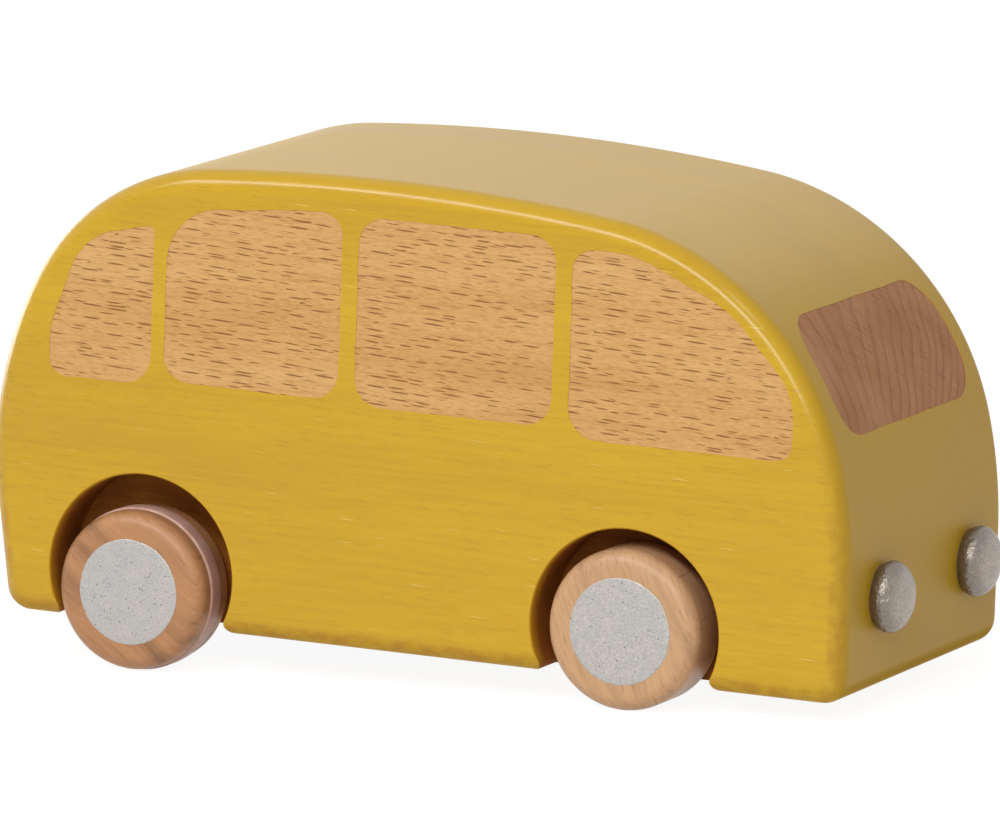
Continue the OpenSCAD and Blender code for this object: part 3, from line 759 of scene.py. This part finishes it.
def paint_pits(s, at):
    """A mask of small round pits of several sizes."""
    cell = s.cells(s.vector("MULTIPLY", at, (1.6, 1.6, 1.6)))
    pick = s.split(cell["Color"])
    size = s.times_plus(pick[0], 0.14, 0.1)
    pits = s.band(s.math("DIVIDE", cell["Distance"], size), 1.2, 0.6)
    return s.times(pits, s.band(pick[1], 0.55, 0.65))


def silver_paint_material(name, lean, seed, tones, metallic, gloss, lump_depth, crown=None):
    """Brushed-on silver paint with flakes, pits and grain lines, and painted shade that darkens it away from
    a crown.
    """
    s, at = turned_shader(name, lean, seed)
    dark, light = tones
    middle = tuple((a + b) / 2 for a, b in zip(dark, light))
    flakes = s.noise(at, scale=5.5, roughness=0.6)
    cloud = s.noise(at, scale=0.5)
    colour = s.ramp(flakes, [(0.3, dark), (0.52, middle), (0.72, light)])
    colour = s.streak(colour, 0.8, cloud, SILVER_CLOUD)
    pits = paint_pits(s, at)
    colour = s.tint(colour, pits, 0.6, SILVER_PIT)
    # Painted shade: the silver is darkened away from the crown, standing in for the shading round the dome's
    # rim
    if crown:
        reach = s.length(s.vector("SUBTRACT", s.place_of(), crown))
        painted_rim_shade = s.band(s.times_plus(cloud, 0.8, reach), 3.4, 5.6, to=(0.0, 0.5))
        colour = s.mix(painted_rim_shade, colour, scaled(dark, 0.4))
    lines = fibres(s, at, across=1.5, along=0.07)
    height = s.minus(s.times_plus(lines, 0.6, flakes), pits)
    lumps = s.bump(s.noise(at, scale=1.3), lump_depth, strength=0.6)
    shine = s.band(flakes, 0.3, 0.7, to=(gloss + 0.08, gloss - 0.06))
    relief = s.bump(height, distance=0.06, strength=0.6, normal=lumps)
    s.set(base_color=colour, metallic=metallic, roughness=shine, normal=relief)
    return s.material


def rubber_material():
    """Pinkish translucent rubber with a faint moulded grain and dust."""
    s = Shader("ring rubber")
    at = s.place_of()
    cloud = s.noise(at, scale=0.35, detail=3.0, roughness=0.6)
    dust = s.specks(at, 4.0, 0.58, 0.74)
    colour = s.tint(s.ramp(cloud, RUBBER_TONES), dust, 0.3, RUBBER_DUST)
    height = s.plus(s.noise(at, scale=2.2), s.times(dust, 0.5))
    s.set(base_color=colour, roughness=0.48, normal=s.bump(height, distance=0.03, strength=0.5))
    s.set(subsurface_weight=0.35, subsurface_radius=(1.0, 0.6, 0.5), subsurface_scale=0.6 * MM)
    return s.material


def plastic_material(name, low, high, gloss):
    """Moulded plastic with a spark-eroded grain, a slow change of tone and a few scuffs."""
    s = Shader(name)
    at = s.place_of()
    cloud = s.noise(at, scale=0.12, detail=3.0, roughness=0.6)
    grain = s.noise(at, scale=3.2, detail=3.0, roughness=0.65)
    colour = s.ramp(cloud, [(0.3, low), (0.7, high)])
    colour = s.mix(s.band(grain, 0.5, 0.75, to=(0.0, 0.25)), colour, scaled(high, 1.25))
    scuffs = dashes(s, at, size=(2.6, 0.09), spread=(9.0, 6.0), seed=5.0, chance=0.4)
    colour = s.tint(colour, scuffs, 0.3, tuple(min(1.0, c * 1.6 + 0.03) for c in high))
    shine = s.band(grain, 0.3, 0.7, to=(gloss - 0.05, gloss + 0.1))
    s.set(base_color=colour, roughness=shine, normal=s.bump(grain, distance=0.03, strength=0.5))
    return s.material


def steel_material(name, low, high, along, gloss):
    """Drawn or rolled steel with marks along the given axis and a few dull spots."""
    s = Shader(name)
    at = s.place_of()
    scale = tuple(0.25 if k == along else 9.0 for k in range(3))
    marks = s.noise(s.stretch(at, scale), detail=3.0, roughness=0.6)
    spots = s.band(s.noise(at, scale=0.9, detail=3.0, roughness=0.6), 0.55, 0.75)
    colour = s.ramp(marks, [(0.3, low), (0.7, high)])
    colour = s.tint(colour, spots, 0.4, scaled(low, 0.6))
    shine = s.band(spots, 0.0, 1.0, to=(gloss, gloss + 0.18))
    relief = s.bump(marks, distance=0.012, strength=0.5)
    s.set(base_color=colour, metallic=1.0, roughness=shine, normal=relief)
    return s.material


# The block and what is cut from it


def window_cutters(materials, wall, ends):
    """Shallow cuts that lay the wood bare inside each side window's paint edge."""
    bed = half_width - SKIN - PAINT_STEP
    cutters = []
    for side in (-1, 1):
        for i, corners in enumerate(SIDE_WINDOWS):
            loop = hand_masked(rounded(corners), WINDOW_SEED_STEP * i + SIDE_SEED_STEP * side)
            rings = [[(x, side * y, z) for x, z in loop] for y in (bed, half_width + CUT_OVER)]
            cutters.append(add_prism(f"window {side} {i}", rings, materials, wall, ends))
    return cutters


def windscreen_cutter(materials, wall, bare):
    """A cut as deep as the paint inside the windscreen's edge, following the round of the brow."""
    low = WINDSCREEN_SILL
    high = low + WINDSCREEN_HEIGHT
    reach = WINDSCREEN_REACH
    corners = [(-reach, low), (reach, low), (reach, high), (-reach, high)]
    loop = hand_masked(rounded([(y, z, WINDSCREEN_CORNER) for y, z in corners]), WINDSCREEN_SEED)
    rings = [[(x, y, z) for y, z in loop] for x in (arc_centres[BROW][0], front_end + CUT_OVER)]
    prism = add_prism("windscreen", rings, materials, wall, bare)
    core = add_block("windscreen bed", SKIN + PAINT_STEP, materials)
    core.data.polygons.foreach_set("material_index", [bare] * len(core.data.polygons))
    return carve(prism, [core])


def arch_outline(centre, grow):
    """A wheel arch in side view: the bore and its two rounded feet, opened out by a small lip."""
    foot_x = math.sqrt((ARCH_RADIUS + ARCH_CORNER) ** 2 - (ARCH_CORNER - ARCH_LEVEL) ** 2)
    lean = math.degrees(math.atan2(ARCH_LEVEL - ARCH_CORNER, foot_x))
    foot = arc((foot_x, ARCH_CORNER - ARCH_LEVEL), ARCH_CORNER - grow, 270, 180 - lean, FOOT_STEPS)
    half = [np.array([foot_x, -ARCH_LEVEL - CUT_OVER]), *foot]
    bore = arc((0, 0), ARCH_RADIUS + grow, -lean, 180 + lean, ARCH_STEPS)[1:-1]
    points = half + bore + [p * [-1, 1] for p in reversed(half)]
    return [centre + p for p in points]


def arch_cutters(materials, wall):
    """The four wheel arches, each eased a little where it meets the side."""
    depths = [(arch_floor, 0.0)]
    for t in np.radians(np.linspace(0, LIP_TURN, LIP_LEVELS)):
        depths.append((half_width - ARCH_LIP * (1 - math.sin(t)), ARCH_LIP * (1 - math.cos(t))))
    depths.append((half_width + CUT_OVER, ARCH_LIP))
    cutters = []
    for centre in (front_arch, rear_arch):
        for side in (-1, 1):
            rings = [[(p[0], side * y, p[1]) for p in arch_outline(centre, grow)] for y, grow in depths]
            cutters.append(add_prism(f"arch {centre[0]:.0f} {side}", rings, materials, wall, wall))
    return cutters


def bore_cutter(name, at, radius, reach, materials, wall):
    circle = arc(at, radius, 0, 360, BORE_STEPS)[:-1]
    rings = [[(p[0], y, p[1]) for p in circle] for y in (-reach, reach)]
    return add_prism(name, rings, materials, wall, wall)


def box_cutter(name, low, high, materials, wall):
    square = [(low[0], low[1]), (high[0], low[1]), (high[0], high[1]), (low[0], high[1])]
    rings = [[(x, y, z) for x, y in square] for z in (low[2], high[2])]
    return add_prism(name, rings, materials, wall, wall)


def level_box(node):
    """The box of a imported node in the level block's frame."""
    back = on_wheels.inverted()
    points = np.array([back @ (v.co / MM) for v in frame["nodes"][node].data.vertices])
    return points.min(axis=0), points.max(axis=0)


def motor_cutters(materials, wall):
    """The pocket for the motor, the recess for its tabs, the rear axle's slot and the front axle's bore."""
    low, high = level_box("motor_case_left")
    back = low[0] - MOTOR_PLAY
    front = high[0] + MOTOR_PLAY
    half = high[1] + MOTOR_PLAY
    top = high[2] + MOTOR_PLAY
    slot = AXLE_RADIUS + SLOT_PLAY
    slot_back = rear_shaft[0] - slot
    slot_front = rear_shaft[0] + slot
    reach = arch_floor + CUT_OVER
    boxes = {
        "tabs": ((back, -half), (front, half), TAB_HEIGHT),
        "pocket": ((back + TAB_REACH, -half), (front - TAB_REACH, half), top),
        "slot": ((slot_back, -reach), (slot_front, reach), rear_shaft[1]),
    }
    cutters = []
    for name, (corner, far_corner, height) in boxes.items():
        cutters.append(box_cutter(name, (*corner, -CUT_OVER), (*far_corner, height), materials, wall))
    cutters.append(bore_cutter("slot top", rear_shaft, slot, reach + END_SHIFT, materials, wall))
    cutters.append(bore_cutter("front bore", front_arch, AXLE_RADIUS + RUNNING_PLAY, reach, materials, wall))
    return cutters


def add_body():
    """The painted block with its windows, arches and motor pocket."""
    materials = [paint_material(), bare_wood_material(), end_grain_material(), raw_wood_material()]
    paint, bare, end, raw = range(4)
    body = add_block("bus_body", SKIN, materials)
    carve(body, window_cutters(materials, paint, bare) + [windscreen_cutter(materials, paint, end)])
    carve(body, arch_cutters(materials, raw) + motor_cutters(materials, raw))
    body.data.transform(in_metres(on_wheels))
    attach(shade(body, CUT_SHARP), "chassis")
    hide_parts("body")


# Turned pieces


def add_lathe(name, profile, material, segments=TURNED_SEGMENTS, waver=0.0):
    """A solid turned about the Y axis from a profile of radius and Y, whose two ends lie on the axis."""
    inner = profile[1:-1]
    points = [(0, profile[0][1], 0), (0, profile[-1][1], 0)]
    for k in range(segments):
        c, s = direction(360 * k / segments)
        drift = waver * noise.noise(Vector((WAVER_PITCH * c, WAVER_PITCH * s, len(name))))
        points += [((r + drift) * c, y, (r + drift) * s) for r, y in inner]
    count = len(inner)
    faces = []
    for k in range(segments):
        a = 2 + k * count
        b = 2 + (k + 1) % segments * count
        faces.append((0, a, b))
        faces += [(a + j, a + j + 1, b + j + 1, b + j) for j in range(count - 1)]
        faces.append((1, b + count - 1, a + count - 1))
    return shade(face_outwards(add_mesh(name, points, faces, [material])), TURNED_SHARP)


def add_ring(name, profile, material):
    """A closed ring turned about the Y axis."""
    count = len(profile)
    points = []
    faces = []
    for k in range(TURNED_SEGMENTS):
        c, s = direction(360 * k / TURNED_SEGMENTS)
        points += [(r * c, y, r * s) for r, y in profile]
        following = (k + 1) % TURNED_SEGMENTS
        for j in range(count):
            m = (j + 1) % count
            faces.append((k * count + j, k * count + m, following * count + m, following * count + j))
    return shade(face_outwards(add_mesh(name, points, faces, [material])), TURNED_SHARP)


def quarter(r, y, radius, start, steps):
    return [tuple(p) for p in arc((r, y), radius, start, start + 90, steps)]


def wheel_profile(grooved):
    """Radius and distance from the inner face, from the blind bore round to the middle of the outer face."""
    bore = WHEEL_WIDTH - AXLE_COVER
    face = WHEEL_WIDTH - PAINT_FILM
    points = [(0, bore), (AXLE_RADIUS, bore), (AXLE_RADIUS, 0)]
    points += quarter(WHEEL_RADIUS - INNER_ROUND, INNER_ROUND, INNER_ROUND, 270, INNER_STEPS)
    if grooved:
        bed = WHEEL_RADIUS - GROOVE_DEPTH
        end = WHEEL_WIDTH - RING_INSET
        start = end - RING_WIDTH
        points += [(WHEEL_RADIUS, start), (bed, start), (bed, end), (WHEEL_RADIUS, end)]
    points += quarter(WHEEL_RADIUS - OUTER_ROUND, face - OUTER_ROUND, OUTER_ROUND, 0, OUTER_STEPS)
    return points + [(HUB_RADIUS - HUB_MARGIN, face), (0, face)]


def hub_profile():
    """The film of silver paint on a wheel's face, with a soft edge."""
    face = WHEEL_WIDTH - PAINT_FILM
    edge = [(HUB_RADIUS + r, face + y) for r, y in FILM_EDGE]
    top = [(HUB_RADIUS + r, WHEEL_WIDTH) for r in FILM_EASE]
    return [(0, face - FILM_SINK), *edge, *top, (0, WHEEL_WIDTH)]


def ring_profile():
    """A rubber ring that fills the groove and stands a little above the tread."""
    bed = WHEEL_RADIUS - GROOVE_DEPTH
    top = WHEEL_RADIUS + RING_PROUD - RING_EASE
    end = WHEEL_WIDTH - RING_INSET
    start = end - RING_WIDTH
    crown = quarter(top, start + RING_EASE, RING_EASE, 270, RING_STEPS)
    crown += quarter(top, end - RING_EASE, RING_EASE, 0, RING_STEPS)
    return [(bed, start), *crown, (bed, end)]


def set_at_wheel(piece, axle, side, body, node=None):
    """Puts a piece drawn from a wheel's inner face outwards on its axle."""
    flip = Matrix.Scale(-1, 4, (0, 1, 0)) if side < 0 else Matrix.Identity(4)
    piece.data.transform(Matrix.Translation((0, side * wheel_inner * MM, 0)) @ flip)
    if side < 0:
        piece.data.flip_normals()
    piece.location = (axle[0] * MM, 0, axle[1] * MM)
    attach(piece, body)
    if node:
        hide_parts(node)


def add_wheels():
    """Four turned wheels with silver hubs, and the rubber rings of the rear pair."""
    rubber = rubber_material()
    for (end, side), (lean, seed, tint, contrast) in WHEEL_GRAIN.items():
        hand = "right" if side < 0 else "left"
        body = f"{end}_wheels"
        axle = front_axle_at if end == "front" else rear_axle_at
        wood = wheel_wood_material(f"{end} {hand} wheel wood", lean, seed, tint, contrast)
        wheel = add_lathe(f"{end}_{hand}_wheel", wheel_profile(end == "rear"), wood)
        set_at_wheel(wheel, axle, side, body, f"{end}_wheel_{hand}")
        silver = silver_paint_material(f"{end} {hand} hub paint", lean, seed, HUB_SILVER,
                                       metallic=0.35, gloss=0.48, lump_depth=0.05)
        hub = add_lathe(f"{end}_{hand}_hub", hub_profile(), silver, waver=HUB_WAVER)
        set_at_wheel(hub, axle, side, body)
        if end == "rear":
            ring = add_ring(f"rear_{hand}_ring", ring_profile(), rubber)
            set_at_wheel(ring, axle, side, body, f"traction_ring_{hand}")


def lamp_profile():
    """A low dome on a short root, as radius and height above the block's front."""
    foot_turn = -math.asin(LAMP_RISE / LAMP_DOME)
    turns = np.linspace(foot_turn, math.pi / 2, LAMP_STEPS)
    dome = [(LAMP_RADIUS * math.cos(a), LAMP_RISE + LAMP_DOME * math.sin(a)) for a in turns]
    return [(0, -LAMP_ROOT), (dome[0][0], -LAMP_ROOT), *dome[:-1], (0, LAMP_HEIGHT)]


def add_lamps():
    """Two domed headlight buttons with small dents, hand painted silver."""
    for side, hand in ((-1, "right"), (1, "left")):
        spot = Matrix.Translation((front_end, side * LAMP_OFFSET, LAMP_LEVEL))
        stand = on_wheels @ spot @ Matrix.Rotation(-math.pi / 2, 4, "Z")
        crown = tuple(stand @ Vector((0, LAMP_HEIGHT, 0)))
        # The crown sets where the painted shade on the lamp's rim begins
        silver = silver_paint_material(f"{hand} lamp paint", 0.0, 60.0 + side, LAMP_SILVER,
                                       metallic=0.8, gloss=0.33, lump_depth=0.4, crown=crown)
        lamp = add_lathe(f"headlight_button_{hand}", lamp_profile(), silver, LAMP_SEGMENTS)
        for v in lamp.data.vertices:
            if v.co.y > 0:
                v.co *= 1 - LAMP_DENT * (1 + noise.noise(v.co * DENT_PITCH + Vector((side, 0, 0))))
        lamp.data.transform(in_metres(stand))
        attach(lamp, "chassis")
        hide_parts(f"headlight_{hand}")


def finish_packed_nodes():
    """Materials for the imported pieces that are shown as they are: the motor, the axles and the screws."""
    case = plastic_material("motor case plastic", (0.03, 0.03, 0.033), (0.045, 0.045, 0.048), gloss=0.5)
    gear = plastic_material("gear plastic", (0.72, 0.7, 0.63), (0.82, 0.8, 0.74), gloss=0.38)
    rod = steel_material("drawn steel", (0.42, 0.42, 0.43), (0.62, 0.62, 0.63), along=1, gloss=0.26)
    screw = steel_material("screw steel", (0.45, 0.44, 0.42), (0.64, 0.63, 0.6), along=0, gloss=0.3)
    strip = steel_material("spring steel", (0.09, 0.1, 0.13), (0.2, 0.22, 0.27), along=1, gloss=0.3)
    for name, node in frame["nodes"].items():
        if name.startswith("motor_case"):
            material = case
        elif name.endswith("_gear"):
            material = gear
        elif name.startswith("motor_screw"):
            material = screw
        elif name == "mainspring":
            material = strip
        else:
            material = rod
        node.data.materials.clear()
        node.data.materials.append(material)
        if not node.hide_render:
            shade(node, PACKED_SHARP)


# Stage, light and camera


def seen_rays(tree):
    """1 for rays from the camera, in reflections and through glass, 0 for the rays that only carry light."""
    path = tree.nodes.new("ShaderNodeLightPath")
    seen = path.outputs["Is Camera Ray"]
    for ray in ("Is Glossy Ray", "Is Transmission Ray"):
        either = tree.nodes.new("ShaderNodeMath")
        either.operation = "MAXIMUM"
        tree.links.new(seen, either.inputs[0])
        tree.links.new(path.outputs[ray], either.inputs[1])
        seen = either.outputs[0]
    return seen


def add_floor():
    """A wide floor: white to the camera and in reflections, with a faint shadow and a pale bounce."""
    r = FLOOR_REACH
    floor = add_mesh("floor", [(-r, -r, 0), (r, -r, 0), (r, r, 0), (-r, r, 0)], [(0, 1, 2, 3)])
    s = Shader("floor white")
    s.set(base_color=(*(FLOOR_BOUNCE_GREY,) * 3, 1), roughness=0.9)
    shadowed = s.add("ShaderNodeBsdfDiffuse", {"Color": (*(FLOOR_SHADOW_GREY,) * 3, 1)})
    glow = s.add("ShaderNodeEmission", {"Color": (*WHITE, 1), "Strength": FLOOR_GLOW})
    white = s.add("ShaderNodeAddShader", {0: shadowed.outputs[0], 1: glow.outputs[0]})
    both = s.add("ShaderNodeMixShader", {0: seen_rays(s.tree), 1: s.surface.outputs[0], 2: white.outputs[0]})
    s.tree.links.new(both.outputs[0], s.tree.nodes["Material Output"].inputs["Surface"])
    floor.data.materials.append(s.material)


def add_world():
    """White to the camera and in reflections, an even soft light to everything else."""
    world = bpy.data.worlds.new("studio")
    bpy.context.scene.world = world
    world.use_nodes = True
    tree = world.node_tree
    soft = tree.nodes["Background"]
    soft.inputs["Color"].default_value = (*WHITE, 1)
    soft.inputs["Strength"].default_value = SKY_LEVEL
    white = tree.nodes.new("ShaderNodeBackground")
    white.inputs["Color"].default_value = (*WHITE, 1)
    both = tree.nodes.new("ShaderNodeMixShader")
    tree.links.new(seen_rays(tree), both.inputs[0])
    tree.links.new(soft.outputs[0], both.inputs[1])
    tree.links.new(white.outputs[0], both.inputs[2])
    tree.links.new(both.outputs[0], tree.nodes["World Output"].inputs["Surface"])


def turned_to(right, up, back):
    """The turn of a light or camera whose own X, Y and Z axes point in these directions."""
    return Matrix((right, up, back)).transposed().to_4x4()


def add_light(name, towards, along, size, power):
    """An area light that looks at the bus from a direction, its length along a second direction."""
    lamp = bpy.data.lights.new(name, "AREA")
    lamp.shape = "RECTANGLE"
    lamp.size = size[0]
    lamp.size_y = size[1]
    lamp.energy = power
    light = bpy.data.objects.new(name, lamp)
    back = Vector(towards).normalized()
    up = back.cross(Vector(along)).normalized()
    at = Vector(LIGHT_TARGET) + back * LIGHT_DISTANCE
    light.matrix_world = Matrix.Translation(at) @ turned_to(up.cross(back), up, back)
    bpy.context.scene.collection.objects.link(light)


def add_camera():
    """The photograph's view: from the right front, a little above the roof, through a long lens."""
    lens = bpy.data.cameras.new("photo view")
    lens.lens = CAMERA_LENS
    lens.sensor_width = CAMERA_SENSOR
    lens.sensor_fit = "HORIZONTAL"
    lens.clip_end = CAMERA_CLIP_END
    camera = bpy.data.objects.new("photo view", lens)
    right = Vector(CAMERA_RIGHT)
    up = Vector(CAMERA_UP)
    camera.matrix_world = Matrix.Translation(CAMERA_AT) @ turned_to(right, up, right.cross(up))
    bpy.context.scene.collection.objects.link(camera)
    bpy.context.scene.camera = camera


add_body()
add_wheels()
add_lamps()
finish_packed_nodes()
add_floor()
add_world()
for light_name, setting in LIGHTS.items():
    add_light(light_name, *setting)
add_camera()
bpy.context.scene.view_settings.view_transform = "Standard"
